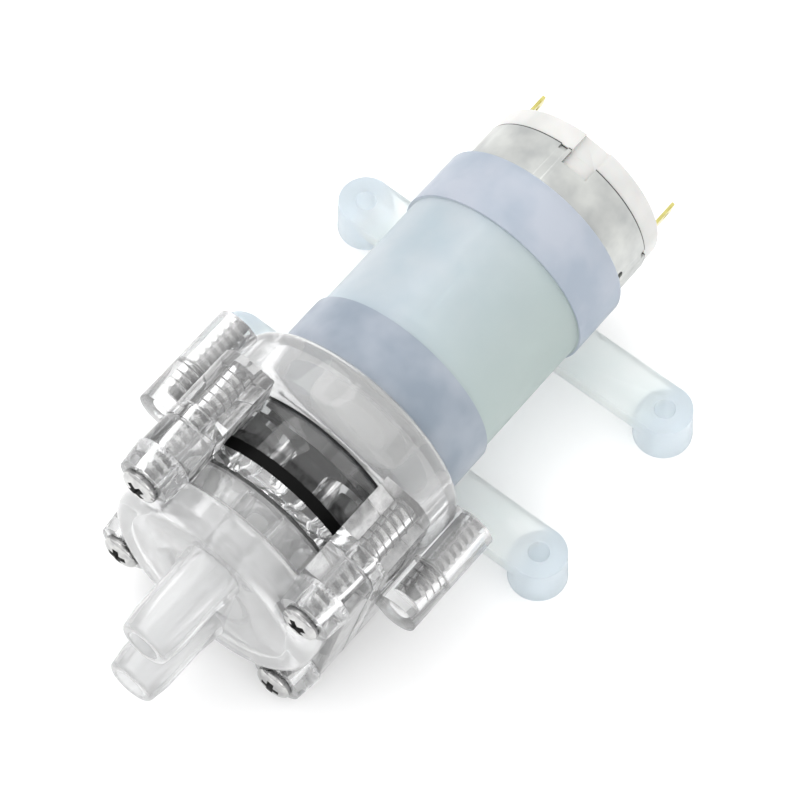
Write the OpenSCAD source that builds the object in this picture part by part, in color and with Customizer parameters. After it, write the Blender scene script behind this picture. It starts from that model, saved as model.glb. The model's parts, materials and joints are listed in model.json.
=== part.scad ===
// Diaphragm pump with a round direct-current motor, in millimetres.
// +Z is up, the motor's axis lies along Y, and the two spouts point towards -Y.
// The origin is the middle of the four foot holes, on the plane the feet stand on.

/* [Motor] */
// Outer diameter of the motor can
can_d = 27.7; // [27.4:0.1:28.2]
// Length of the motor can, from its front face to the end cap's seam
can_len = 34.6; // [34:0.2:37]
// Length of the end cap's rim behind the can
cap_rim = 3.4; // [3:0.1:4]
// Diameter of the motor shaft
shaft_d = 2.3; // [2:0.1:2.5]
// Distance between the two screws that hold the motor
motor_screw_gap = 16; // [15:0.5:17]

/* [Sleeve and feet] */
// Wall of the sleeve between its two bands
sleeve_wall = 0.75; // [0.6:0.05:0.9]
// Wall of the sleeve's two bands
band_wall = 1.25; // [1.1:0.05:1.5]
// Width of each band
band_w = 8.9; // [8.5:0.1:9.5]
// How far back the sleeve reaches from the motor's front face
sleeve_back = 27.6; // [26.5:0.1:29]
// Height of the motor's axis above the surface the feet stand on
axis_h = 20.6; // [20.6:0.1:21]
// Distance between left and right foot holes
foot_gap_x = 53; // [50:0.5:60]
// Distance between front and rear foot holes
foot_gap_y = 28; // [27:0.2:29]
// Diameter of a foot where it stands
foot_d = 8.4; // [8:0.1:9]
// Diameter of the hole in a foot
foot_hole_d = 3; // [2.5:0.1:3.5]
// How far the pump is turned in its sleeve, in degrees
head_turn = 12; // [0:1:12]

/* [Pump head] */
// Diameter of the crankcase dome
dome_d = 36.5; // [36:0.1:37]
// Diameter of the cup seat, diaphragm, valve plate and manifold
head_d = 30.8; // [30.5:0.1:31.2]
// Distance between front screws, both ways
screw_gap = 27; // [26.8:0.1:27.2]
// Distance between the two rear screws
ear_gap = 41; // [40.6:0.1:42]
// Diameter of the pump's self-tapping screws
screw_d = 2.9; // [2.7:0.1:3]
// Distance between the two spouts
spout_gap = 17.4; // [16.8:0.2:18]
// Outer diameter of a spout where the hose grips
spout_d = 8; // [7.6:0.1:8.2]
// Bore of a spout
spout_bore = 4.8; // [4:0.1:5]
// Length of a spout, in front of the cover
spout_len = 13.7; // [12:0.5:18]
// Length of the crankcase dome
dome_len = 9.2; // [9:0.1:9.6]
// Length of the cup seat
seat_len = 7.5; // [7.4:0.1:8.2]
// Thickness of the diaphragm's flange
film_t = 1.7; // [1.5:0.1:2]
// Thickness of the valve plate
valve_plate_t = 2.5; // [2.4:0.1:3]
// Length of the manifold body
body_len = 5; // [4.8:0.1:6]
// Length of the cover, behind its spouts
cover_len = 5.3; // [5.2:0.1:6]

/* [Drive] */
// Slant of the crank pin, in degrees
tilt = 7; // [5:0.5:7]
// Radius of the ring on which the three cups sit
cup_ring_r = 8.3; // [8.1:0.1:8.4]
// Outer diameter of a cup at the diaphragm's flange
cup_d = 10.6; // [10.2:0.1:10.8]

/* [Hidden] */
$fn = 72;

// Clearances
run_gap = 0.02;     // shaft in its bearings, radial
pin_gap = 0.05;     // crank pin in the wobble plate, radial
face_gap = 0.05;    // between faces that turn past each other
slip_gap = 0.1;     // between moulded pieces that slide together
over = 1;           // how far a cutting body runs past the face it cuts

// Stations along the axis, counted forwards from the motor's front face
motor_front_y = -9.7;
neck_end = 10.3;                    // sleeve's front edge and the dome's back
ear_step = 0.3;
ear_back = neck_end + ear_step;     // face under the rear screw heads
seat_back = neck_end + dome_len;    // crankcase meets cup seat
film_back = seat_back + seat_len;   // cup seat meets diaphragm
plate_back = film_back + film_t;    // diaphragm meets valve plate
body_back = plate_back + valve_plate_t;
cover_back = body_back + body_len;  // manifold body meets spout cover
cover_deep = 2.9;
chamber_front = cover_back + cover_deep;
boss_len = 4;
boss_front = cover_back + boss_len; // face under the front screw heads
cover_front = cover_back + cover_len;
spout_end = cover_front + spout_len;
motor_len = can_len + cap_rim;

// Motor
can_r = can_d / 2;
can_wall = 1;
can_in_r = can_r - can_wall;
can_round = 0.8;                    // drawn corner in front
crimp_angles = [15, 103.5, 195, 283.5];
crimp_w = 1.2;                      // dents that hold the end cap
crimp_len = 0.9;
crimp_deep = 0.5;
vent_angles = [19, 199];
vent_r = 0.6;
vent_out = 1.4;                     // from the sleeve's back edge
hub_r = 4.4;                        // bearing hub on the can's front face
hub_len = 2.2;
bearing_r = 3;
bearing_len = 4.2;
shaft_r = shaft_d / 2;
shaft_back = -motor_len - 0.8;
bore_r = shaft_r + run_gap;
key_w = 4.2;                        // end cap's key in the can's notch
key_len = 2.3;
channel_r = can_r - 1.1;            // floor of the end cap's channel
plug_len = 3;
cap_r = can_r - 0.2;
cap_round = 0.4;
plug_wall = 0.8;
cap_floor = 1.8;
cap_hub_len = 1.2;                  // bearing hub behind the end cap
cap_hub_in = 2.4;                   // and in front of its floor
cap_hub_wall = 1.3;
bearing_inset = 0.3;
tab_w = 2.8;                        // terminal tabs
tab_t = 0.5;
tab_in = 1;                         // from the can's inner face
tab_x = can_in_r - tab_in - tab_t / 2;
tab_len = 6.1;
wire_hole_r = 0.6;
wire_hole_in = 1.6;                 // its distance from the tab's end
arm_t = 0.25;                       // spring copper of the brush arms
arm_room = 1;                       // from the end cap's plug
arm_back = -can_len + plug_len + arm_room;
arm_w = 3;
arm_top = 7.5;
arm_x = 9;
comm_r = 3;
comm_len = 4.4;
comm_back = arm_back - 0.8;
comm_wall = 0.6;
comm_lip = 0.8;                     // moulded sleeve behind the segments
comm_nose = 0.3;                    // and in front of them
riser_len = 1.5;
riser_w = 1.2;
riser_t = 0.5;
brush_x = comm_r + face_gap;
brush_len = 1.55;
brush_w = 2.4;
brush_step = 0.3;                   // a brush is this much narrower than its arm, on each side
magnet_t = 3.05;
magnet_arc = 130;
magnet_len = 21;
brush_room = 1.6;                   // from the brush arms to the magnets
magnet_front = arm_back + arm_w + brush_room + magnet_len;
clip_r = 0.5;                       // wire of the magnet clip
clip_inset = 2;
core_r = can_in_r - magnet_t - 0.5; // air gap of half a millimetre
core_hub_r = 3.2;
core_inset = 3.5;                   // the magnets are this much longer, at each end
core_len = magnet_len - 2 * core_inset;
core_front = magnet_front - core_inset;
tooth_w = 3.2;
shoe_t = 1.4;
shoe_arc = 100;
coil_w = 7.2;
coil_in = 3.6;
coil_out = 6.8;
m_screw_r = 1.25;
m_head_r = 2.2;
m_head_h = 1.5;
m_screw_len = 3;
m_slot_w = 0.6;
m_slot_len = 2.4;
m_slot_deep = 0.8;
washer_r = 2.4;
washer_t = 0.5;

// Sleeve
mid_r = can_r + sleeve_wall;
band_r = can_r + band_wall;
leg_w = 7.8;
leg_t = 2.6;
leg_lap = 1.2;                      // how far the legs' tops reach into the bands
foot_h = axis_h - band_r + leg_lap;
foot_top_d = foot_d - 0.5;

// Head
dome_r = dome_d / 2;
dome_round = 2.25;                  // at its back
dome_front_round = 2.6;
dome_wall = 1.7;
neck_wall = 1.55;
floor_t = 3;
head_r = head_d / 2;
tube_r = 4;
tube_xy = screw_gap / 2;
window_w = 2 * (tube_xy - tube_r);  // between the screw tubes
ear_x = ear_gap / 2;
ear_r = 3.3;
web_t = 4.6;
screw_r = screw_d / 2;
clear_r = screw_r + 0.15;
head_screw_r = 2.7;
head_screw_h = 1.6;
slot_w = 0.75;                      // cross recess of a screw
slot_len = 3;
slot_deep = 0.9;
front_screw_len = 20;
rear_screw_len = 14;
recess_r = 13.9;                    // hollow behind the cup seat's floor
recess_deep = 2.3;
recess_end = seat_back + recess_deep;
cup_angles = [-90, 30, 150];
cup_r = cup_d / 2;
cup_len = 4.6;
cup_back = film_back - cup_len;
cup_wall = 0.75;
cup_taper = 0.4;
cup_root = 0.6;                     // how far a cup's outer cone runs into the flange
foot_pad_r = 3.4;
chamber_r = 13;
gallery_r = 5.7;                    // outlet chamber around the outlet valve
gallery_slot = 5.4;
rib_t = 1;
seal_r = 14.2;                      // middle of the face seal
seal_w = 1;
seal_t = 0.8;
cover_r = 16.4;
cover_round = 2.5;
spout_r = spout_d / 2;
spout_y = spout_gap / 2;
lip_r = 0.7;
umbrella_r = 5.3;
umbrella_t = 0.5;
umbrella_deep = 0.8;
outlet_ring_r = 4.6;
outlet_hole_r = 0.7;
stem_r = 0.8;
flap_ring_r = 9.5;
flap_r = 2.6;
flap_t = 0.5;
flap_deep = 0.9;
flap_stem_r = 0.6;
inlet_hole_r = 0.55;
inlet_hole_at = 1.6;                // from the flap's middle

// Drive
wobble_back = 2.4;                  // from the cups' backs to the wobble centre
wobble_centre = cup_back - wobble_back;
wheel_r = 8;
wheel_gap = 0.8;                    // from the crankcase's floor
wheel_back = floor_t + wheel_gap;
wheel_room = 7.2;                   // from the wheel to the wobble centre
wheel_front = wobble_centre - wheel_room;
shaft_grip = 4.2;
shaft_front = wheel_back + shaft_grip;
wheel_step = 2.6;                   // length of the boss in front
wheel_boss_r = 4.6;
wheel_flat = 4.8;                   // from the axis to the balancing flat
pin_r = 1;
pin_grip = 4;
pin_back = -wheel_room - pin_grip;  // along the slanted pin, from the wobble centre
pin_front = -2;
plate_t0 = -2.4;
plate_t1 = -0.8;
hub_back = -6.4;
wobble_hub_r = 2.7;
arm_end_r = 2.9;
arm_wide = 3.6;
neck_r = 1.5;
bulb_r = 2.1;
pad_back = 1.8;
pad_t = 1.6;

// Places its children on the pump's axis: their +Z runs forwards and their +Y upwards
module on_axis() {
    translate([0, motor_front_y, axis_h]) rotate([0, head_turn, 0]) rotate([90, 0, 0]) children();
}

// The same for the sleeve, which stands square on its feet
module on_sleeve_axis() {
    translate([0, motor_front_y, axis_h]) rotate([90, 0, 0]) children();
}

// The slanted frame of the crank pin, with its origin at the wobble centre
module on_pin() {
    on_axis() translate([0, 0, wobble_centre]) rotate([tilt, 0, 0]) children();
}

// Solid disc between two stations
module disc(z0, z1, r) {
    translate([0, 0, z0]) cylinder(h = z1 - z0, r = r);
}

// Ring between two stations
module ring(z0, z1, r_out, r_in) {
    difference() {
        disc(z0, z1, r_out);
        disc(z0 - over, z1 + over, r_in);
    }
}

// Disc whose back edge is rounded
module round_back_disc(z0, z1, r, rho) {
    disc(z0 + rho, z1, r);
    disc(z0, z0 + rho, r - rho);
    rotate_extrude() translate([r - rho, z0 + rho]) circle(r = rho);
}

// Disc whose back and front edges are rounded
module round_disc(z0, z1, r, rho_back, rho_front) {
    middle = (z0 + z1) / 2;
    round_back_disc(z0, middle, r, rho_back);
    round_front_disc(middle, z1, r, rho_front);
}

// Disc whose front edge is rounded
module round_front_disc(z0, z1, r, rho) {
    disc(z0, z1 - rho, r);
    disc(z1 - rho, z1, r - rho);
    rotate_extrude() translate([r - rho, z1 - rho]) circle(r = rho);
}

// Children repeated at the four front screws
module at_front_screws() {
    for (x = [-1, 1], y = [-1, 1]) translate([x * tube_xy, y * tube_xy, 0]) children();
}

// Children repeated at the two rear screws
module at_ears() {
    for (x = [-1, 1]) translate([x * ear_x, 0, 0]) children();
}

// Children repeated at the three cups, at a distance from the axis
module at_cups(r) {
    for (a = cup_angles) rotate([0, 0, a]) translate([r, 0, 0]) children();
}

// Outline of the clear blocks that hold the four screw tubes
module block_outline() {
    difference() {
        union() {
            square([2 * (tube_xy + tube_r), 2 * tube_xy], center = true);
            square([2 * tube_xy, 2 * (tube_xy + tube_r)], center = true);
            at_front_screws() circle(r = tube_r);
        }
        square([window_w, 4 * tube_xy], center = true);
    }
}

// Outline of the cup seat, valve plate and manifold body
module head_outline() {
    circle(r = head_r);
    block_outline();
}

// Keyhole outline of the outlet chamber, grown by a wall
module gallery_outline(grow) {
    circle(r = gallery_r + grow);
    translate([-gallery_slot / 2 - grow, 0]) square([gallery_slot + 2 * grow, spout_y]);
    translate([0, spout_y]) circle(r = gallery_slot / 2 + grow);
}

// The two fluid chambers between two stations
module chambers(z0, z1) {
    translate([0, 0, z0]) linear_extrude(height = z1 - z0) {
        difference() {
            circle(r = chamber_r);
            gallery_outline(rib_t);
            translate([-gallery_slot / 2, spout_y]) square([gallery_slot, chamber_r]);
        }
        gallery_outline(0);
    }
}

// Pan-head screw with a cross recess: its head's underside is at z = 0 and its tip points to -Z
module pan_screw(shank_r, length, head_r, head_h, slot, slot_l, deep) {
    edge = head_h * 0.45;
    difference() {
        union() {
            cylinder(h = head_h - edge, r = head_r);
            translate([0, 0, head_h - edge]) cylinder(h = edge, r1 = head_r, r2 = head_r * 0.72);
        }
        for (a = [0, 90]) rotate([0, 0, a])
            translate([-slot_l / 2, -slot / 2, head_h - deep]) cube([slot_l, slot, deep + over]);
    }
    translate([0, 0, -length + shank_r]) cylinder(h = length - shank_r, r = shank_r);
    translate([0, 0, -length]) cylinder(h = shank_r, r1 = shank_r * 0.35, r2 = shank_r);
}

// Two legs on one strap, with a foot at each end
module leg_pair() {
    translate([-foot_gap_x / 2, -leg_w / 2, foot_h - leg_t]) cube([foot_gap_x, leg_w, leg_t]);
    for (x = [-1, 1]) translate([x * foot_gap_x / 2, 0, 0])
        cylinder(h = foot_h, r1 = foot_d / 2, r2 = foot_top_d / 2);
}

// Soft sleeve pushed over the motor and the crankcase's neck
module mounting_sleeve() {
    color([0.74, 0.81, 0.86]) difference() {
        union() {
            on_sleeve_axis() {
                disc(-sleeve_back, neck_end, mid_r);
                disc(-sleeve_back, -sleeve_back + band_w, band_r);
                disc(neck_end - band_w, neck_end, band_r);
            }
            for (y = [-1, 1]) translate([0, y * foot_gap_y / 2, 0]) leg_pair();
        }
        on_sleeve_axis() disc(-sleeve_back - over, neck_end + over, can_r);
        for (x = [-1, 1], y = [-1, 1])
            translate([x * foot_gap_x / 2, y * foot_gap_y / 2, -over])
                cylinder(h = foot_h + 2 * over, d = foot_hole_d);
    }
}

// Drawn steel can, closed in front and open behind
module motor_can() {
    color([0.75, 0.76, 0.76]) on_axis() difference() {
        union() {
            round_front_disc(-can_len, 0, can_r, can_round);
            disc(-over, hub_len, hub_r);
        }
        disc(-can_len - over, -can_wall, can_in_r);
        disc(-can_wall - over, hub_len + over, bearing_r);
        for (x = [-1, 1]) translate([x * motor_screw_gap / 2, 0, -can_wall - over])
            cylinder(h = can_wall + 2 * over, r = m_screw_r);
        translate([-key_w / 2, 0, -can_len - over])
            cube([key_w, can_r + over, key_len + over + slip_gap]);
        for (a = crimp_angles) rotate([0, 0, a])
            translate([can_r - crimp_deep, -crimp_w / 2, -can_len - over])
                cube([crimp_deep + over, crimp_w, crimp_len + over]);
        for (a = vent_angles) rotate([0, 0, a])
            translate([can_in_r - over, 0, -sleeve_back - vent_out])
                rotate([0, 90, 0]) cylinder(h = can_wall + 2 * over, r = vent_r);
    }
}

// Two arc magnets bonded inside the can
module field_magnets() {
    color([0.25, 0.25, 0.27]) on_axis() for (a = [0, 180]) rotate([0, 0, a - magnet_arc / 2])
        translate([0, 0, magnet_front - magnet_len]) rotate_extrude(angle = magnet_arc)
            translate([can_in_r - magnet_t, 0]) square([magnet_t, magnet_len]);
}

// Bent spring wire that pushes the magnets apart
module magnet_clip() {
    wire_ring_r = can_in_r - clip_r - 0.3;
    spread = (180 - magnet_arc) / 2 - 3.2;
    leg = magnet_len - 2 * clip_inset;
    color([0.7, 0.7, 0.68]) on_axis() translate([0, 0, magnet_front - clip_inset]) {
        for (a = [-1, 1]) rotate([0, 0, 90 + a * spread])
            translate([wire_ring_r, 0, -leg]) cylinder(h = leg, r = clip_r);
        for (a = [-1, 1]) rotate([0, 0, 90 + a * spread])
            translate([wire_ring_r, 0, 0]) sphere(r = clip_r);
        rotate([0, 0, 90 - spread]) rotate_extrude(angle = 2 * spread)
            translate([wire_ring_r, 0]) circle(r = clip_r);
    }
}

module front_bearing() {
    color([0.62, 0.5, 0.3]) on_axis() ring(hub_len - bearing_len, hub_len, bearing_r, bore_r);
}

module rear_bearing() {
    back = -motor_len - cap_hub_len + bearing_inset;
    color([0.62, 0.5, 0.3]) on_axis() ring(back, back + bearing_len, bearing_r, bore_r);
}

// Nylon end cap: a rim behind the can, a plug inside it, and a key in the can's notch
module end_cap() {
    color([0.93, 0.92, 0.88]) on_axis() difference() {
        union() {
            difference() {
                union() {
                    round_back_disc(-motor_len, -can_len, cap_r, cap_round);
                    disc(-can_len, -can_len + plug_len, can_in_r);
                }
                disc(-motor_len + cap_floor, over, can_in_r - plug_wall);
                translate([-key_w / 2, channel_r, -motor_len - over])
                    cube([key_w, can_r, cap_rim + over]);
            }
            translate([-key_w / 2 + slip_gap, can_in_r - plug_wall, -can_len])
                cube([key_w - 2 * slip_gap, channel_r - can_in_r + plug_wall, key_len]);
            disc(-motor_len - cap_hub_len, -motor_len + cap_floor + cap_hub_in, bearing_r + cap_hub_wall);
        }
        disc(-motor_len - cap_hub_len - over, 0, bearing_r);
        for (x = [-1, 1]) translate([x * tab_x - tab_t / 2, -tab_w / 2, -motor_len - over])
            cube([tab_t, tab_w, cap_floor + 2 * over]);
    }
}

// Flat brass tabs that stand out of the end cap, each with a wire hole
module terminals() {
    color([0.83, 0.72, 0.38]) on_axis() for (x = [-1, 1]) difference() {
        translate([x * tab_x - tab_t / 2, -tab_w / 2, -motor_len - tab_len])
            cube([tab_t, tab_w, motor_len + tab_len + arm_back + arm_w]);
        translate([x * tab_x - tab_t, 0, -motor_len - tab_len + wire_hole_in])
            rotate([0, 90, 0]) cylinder(h = 2 * tab_t, r = wire_hole_r);
    }
}

// Spring copper arms from the terminals to the brushes
module brush_arms() {
    leaf_x = brush_x + brush_len;
    color([0.8, 0.5, 0.32]) on_axis() for (side = [0, 180]) rotate([0, 0, side])
        translate([0, 0, arm_back]) {
            translate([leaf_x, -brush_w / 2, 0]) cube([arm_t, arm_top + brush_w / 2, arm_w]);
            translate([leaf_x, arm_top, 0]) cube([arm_x - leaf_x, arm_t, arm_w]);
            translate([arm_x - arm_t, 0, 0]) cube([arm_t, arm_top + arm_t, arm_w]);
            translate([arm_x - arm_t, -arm_t, 0])
                cube([tab_x - tab_t / 2 - arm_x + arm_t, arm_t, arm_w]);
        }
}

module carbon_brushes() {
    color([0.15, 0.15, 0.16]) on_axis() for (side = [0, 180]) rotate([0, 0, side])
        translate([brush_x, -brush_w / 2, arm_back + brush_step])
            cube([brush_len, brush_w, arm_w - 2 * brush_step]);
}

// Two short screws through the crankcase floor into the motor
module motor_screws() {
    color([0.8, 0.8, 0.8]) on_axis() for (x = [-1, 1])
        translate([x * motor_screw_gap / 2, 0, floor_t - m_head_h - slip_gap])
            pan_screw(m_screw_r, m_screw_len, m_head_r, m_head_h, m_slot_w, m_slot_len, m_slot_deep);
}

// Clear crankcase: a neck in the sleeve, a thick rounded dome and two ears
module crankcase() {
    head_z = floor_t - m_head_h - slip_gap;
    color([0.85, 0.87, 0.88]) on_axis() difference() {
        union() {
            disc(0, neck_end + over, can_r);
            round_disc(neck_end, seat_back, dome_r, dome_round, dome_front_round);
            at_ears() disc(ear_back, seat_back, ear_r);
            translate([-ear_x, -web_t / 2, ear_back]) cube([2 * ear_x, web_t, seat_back - ear_back]);
        }
        disc(floor_t, neck_end + dome_wall, can_r - neck_wall);
        disc(neck_end + dome_wall, seat_back + over, recess_r);
        disc(-over, floor_t + over, hub_r + slip_gap);
        at_ears() disc(ear_back - over, seat_back + over, clear_r);
        for (x = [-1, 1]) translate([x * motor_screw_gap / 2, 0, 0]) {
            disc(-over, floor_t, m_screw_r + slip_gap);
            disc(head_z, floor_t + over, m_head_r + slip_gap);
        }
    }
}

// Clear cup seat: three bores for the cups, four screw tubes and two ears
module cup_seat() {
    tube_depth = boss_front - front_screw_len;
    ear_depth = ear_back + rear_screw_len;
    color([0.87, 0.88, 0.89]) on_axis() difference() {
        union() {
            translate([0, 0, seat_back]) linear_extrude(height = film_back - seat_back) head_outline();
            translate([0, 0, film_back]) linear_extrude(height = plate_back - film_back) difference() {
                block_outline();
                circle(r = head_r + slip_gap);
            }
            at_ears() disc(seat_back, film_back, ear_r);
            for (x = [-1, 1]) translate([x * (ear_x + tube_xy) / 2, 0, (seat_back + film_back) / 2])
                cube([ear_x - tube_xy, web_t, film_back - seat_back], center = true);
        }
        disc(seat_back - over, recess_end, recess_r);
        at_cups(cup_ring_r) disc(recess_end - over, film_back + over, cup_r + slip_gap);
        at_front_screws() disc(tube_depth, plate_back + over, screw_r);
        at_ears() disc(seat_back - over, ear_depth, screw_r);
    }
}

// Two screws through the crankcase's ears into the cup seat
module rear_screws() {
    color([0.82, 0.82, 0.82]) on_axis() at_ears() translate([0, 0, ear_back]) mirror([0, 0, 1])
        pan_screw(screw_r, rear_screw_len, head_screw_r, head_screw_h, slot_w, slot_len, slot_deep);
}

// Black rubber diaphragm: a flange with three tapered cups, open at their backs for the feet
module diaphragm() {
    color([0.08, 0.08, 0.08]) on_axis() difference() {
        union() {
            disc(film_back, plate_back, head_r);
            at_cups(cup_ring_r) translate([0, 0, cup_back])
                cylinder(h = film_back - cup_back + cup_root, r1 = cup_r - cup_taper, r2 = cup_r);
        }
        at_cups(cup_ring_r) translate([0, 0, cup_back])
            cylinder(h = film_back - cup_back, r1 = cup_r - cup_taper - cup_wall, r2 = cup_r - cup_wall);
        at_cups(cup_ring_r) disc(cup_back - over, cup_back + 0.05, cup_r - cup_taper - cup_wall);
        at_cups(cup_ring_r) disc(film_back, plate_back + over, cup_r - cup_wall);
    }
}

// Clear valve plate between the cups and the chambers
module valve_plate() {
    color([0.87, 0.88, 0.89]) on_axis() difference() {
        translate([0, 0, plate_back]) linear_extrude(height = body_back - plate_back) head_outline();
        at_front_screws() disc(plate_back - over, body_back + over, clear_r);
        disc(body_back - umbrella_deep, body_back + over, umbrella_r + 0.3);
        disc(plate_back, body_back, stem_r);
        disc(plate_back - over, plate_back + umbrella_deep, stem_r + 0.5);
        at_cups(outlet_ring_r) disc(plate_back - over, body_back, outlet_hole_r);
        at_cups(flap_ring_r) {
            disc(plate_back - over, plate_back + flap_deep, flap_r + 0.2);
            disc(plate_back, body_back + over, flap_stem_r);
            for (a = [0, 120, 240]) rotate([0, 0, a]) translate([inlet_hole_at, 0, 0])
                disc(plate_back, body_back + over, inlet_hole_r);
        }
    }
}

// Silicone mushrooms that let water into the cups
module inlet_valves() {
    seat = plate_back + flap_deep;
    color([0.93, 0.93, 0.9]) on_axis() at_cups(flap_ring_r) {
        disc(seat - flap_t, seat, flap_r);
        disc(seat, body_back + 0.3, flap_stem_r);
        translate([0, 0, body_back]) cylinder(h = 0.9, r1 = flap_stem_r + 0.3, r2 = flap_stem_r - 0.1);
    }
}

// One wide silicone mushroom that lets water out of all three cups
module outlet_valve() {
    seat = body_back - umbrella_deep;
    color([0.93, 0.93, 0.9]) on_axis() {
        disc(seat, seat + umbrella_t, umbrella_r);
        disc(plate_back + umbrella_deep, seat, stem_r);
        translate([0, 0, plate_back + 0.1])
            cylinder(h = umbrella_deep - 0.1, r1 = stem_r - 0.1, r2 = stem_r + 0.35);
    }
}

// Clear body with the inlet chamber around the outlet chamber
module manifold_body() {
    color([0.88, 0.89, 0.9]) on_axis() difference() {
        translate([0, 0, body_back]) linear_extrude(height = cover_back - body_back) head_outline();
        chambers(body_back - over, cover_back + over);
        at_front_screws() disc(body_back - over, cover_back + over, clear_r);
        ring(cover_back - seal_t, cover_back + over, seal_r + seal_w / 2, seal_r - seal_w / 2);
    }
}

// Silicone ring in the manifold's front groove
module face_seal() {
    color([0.9, 0.6, 0.5]) on_axis()
        ring(cover_back - seal_t, cover_back, seal_r + seal_w / 2, seal_r - seal_w / 2);
}

// One smooth spout, standing on z = 0
module spout() {
    taper_len = 2.4;
    tip_r = spout_r - 0.35;
    root_len = 4;
    cylinder(h = root_len, r1 = spout_r + 0.5, r2 = spout_r);
    cylinder(h = spout_len - taper_len - lip_r, r = spout_r);
    translate([0, 0, spout_len - taper_len - lip_r]) cylinder(h = taper_len, r1 = spout_r, r2 = tip_r);
    round_front_disc(spout_len - 2 * lip_r, spout_len, tip_r, lip_r);
}

// Clear cover with two spouts and four screw bosses
module spout_cover() {
    color([0.9, 0.91, 0.92]) on_axis() difference() {
        union() {
            round_front_disc(cover_back, cover_front, cover_r, cover_round);
            at_front_screws() translate([0, 0, cover_back])
                cylinder(h = boss_front - cover_back, r1 = tube_r + 0.3, r2 = tube_r - 0.2);
            for (y = [-1, 1]) translate([0, y * spout_y, cover_front]) spout();
        }
        chambers(cover_back - over, chamber_front);
        for (y = [-1, 1]) translate([0, y * spout_y, 0])
            disc(chamber_front, spout_end + over, spout_bore / 2);
        at_front_screws() {
            disc(cover_back - over, boss_front, clear_r);
            disc(boss_front, cover_front + over, head_screw_r + 0.25);
        }
    }
}

// Four long screws that clamp the cover, manifold, valve plate and diaphragm to the cup seat
module front_screws() {
    color([0.82, 0.82, 0.82]) on_axis() at_front_screws() translate([0, 0, boss_front])
        pan_screw(screw_r, front_screw_len, head_screw_r, head_screw_h, slot_w, slot_len, slot_deep);
}

module motor_shaft() {
    color([0.7, 0.7, 0.72]) on_axis() disc(shaft_back, shaft_front, shaft_r);
}

// Three laminated poles
module armature_core() {
    color([0.45, 0.45, 0.47]) on_axis() translate([0, 0, core_front - core_len])
        linear_extrude(height = core_len) difference() {
            union() {
                circle(r = core_hub_r);
                for (a = [90, 210, 330]) rotate([0, 0, a]) {
                    translate([0, -tooth_w / 2]) square([core_r - shoe_t / 2, tooth_w]);
                    shoe_outline();
                }
            }
            circle(r = shaft_r);
        }
}

// Curved shoe at a pole's tip, cut to its arc by two half planes
module shoe_outline() {
    half = shoe_arc / 2;
    difference() {
        circle(r = core_r);
        circle(r = core_r - shoe_t);
        for (s = [-1, 1]) rotate([0, 0, s * half]) translate([-core_r * 2, s > 0 ? 0 : -core_r * 4])
            square([core_r * 4, core_r * 4]);
        translate([-core_r * 2, -core_r * 2]) square([core_r * 2, core_r * 4]);
    }
}

// One enamelled copper coil around each pole
module armature_windings() {
    color([0.72, 0.38, 0.2]) on_axis() for (a = [90, 210, 330]) rotate([0, 0, a])
        difference() {
            union() {
                translate([coil_in, -coil_w / 2, core_front - core_len])
                    cube([coil_out - coil_in, coil_w, core_len]);
                for (z = [core_front - core_len, core_front]) translate([coil_in, 0, z])
                    rotate([0, 90, 0]) cylinder(h = coil_out - coil_in, r = coil_w / 2);
            }
            translate([coil_in - over, -tooth_w / 2, core_front - core_len])
                cube([coil_out, tooth_w, core_len]);
        }
}

// Moulded sleeve that carries the commutator
module commutator_base() {
    color([0.35, 0.2, 0.12]) on_axis()
        ring(comm_back - comm_lip, comm_back + comm_len + comm_nose, comm_r - comm_wall, shaft_r);
}

// Three copper segments with their risers
module commutator_segments() {
    gap_angle = 6;
    color([0.8, 0.5, 0.32]) on_axis() for (a = [30, 150, 270]) rotate([0, 0, a]) {
        rotate([0, 0, gap_angle / 2 - 60]) translate([0, 0, comm_back])
            rotate_extrude(angle = 120 - gap_angle)
                translate([comm_r - comm_wall, 0]) square([comm_wall, comm_len]);
        translate([comm_r - comm_wall / 2, -riser_w / 2, comm_back + comm_len - riser_t])
            cube([riser_len, riser_w, riser_t]);
    }
}

// Fibre washers that keep the rotor between its bearings
module thrust_washers() {
    front = hub_len - bearing_len - face_gap;
    back = -motor_len - cap_hub_len + bearing_inset + bearing_len + face_gap;
    color([0.6, 0.3, 0.2]) on_axis() {
        ring(front - washer_t, front, washer_r, shaft_r);
        ring(back, back + washer_t, washer_r, shaft_r);
    }
}

// Wheel pressed on the shaft, with a slanted hole for the crank pin
module eccentric_wheel() {
    color([0.86, 0.86, 0.84]) difference() {
        on_axis() difference() {
            union() {
                disc(wheel_back, wheel_front - wheel_step, wheel_r);
                disc(wheel_back, wheel_front, wheel_boss_r);
            }
            disc(wheel_back - over, shaft_front, shaft_r);
            translate([-wheel_r, -wheel_r - wheel_flat, wheel_back - over])
                cube([2 * wheel_r, wheel_r, wheel_front]);
        }
        on_pin() disc(pin_back, over, pin_r);
    }
}

module crank_pin() {
    color([0.78, 0.78, 0.8]) on_pin() disc(pin_back, pin_front, pin_r);
}

// Three-armed plate that the slanted pin rocks
module wobble_plate() {
    color([0.92, 0.92, 0.9]) on_pin() difference() {
        union() {
            disc(hub_back, plate_t1, wobble_hub_r);
            at_cups(cup_ring_r) disc(plate_t0, plate_t1, arm_end_r);
            for (a = cup_angles) rotate([0, 0, a]) translate([0, -arm_wide / 2, plate_t0])
                cube([cup_ring_r, arm_wide, plate_t1 - plate_t0]);
        }
        disc(hub_back - over, pin_front + slip_gap, pin_r + pin_gap);
        at_cups(cup_ring_r) disc(plate_t0 - over, plate_t1 + over, neck_r);
    }
}

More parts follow.
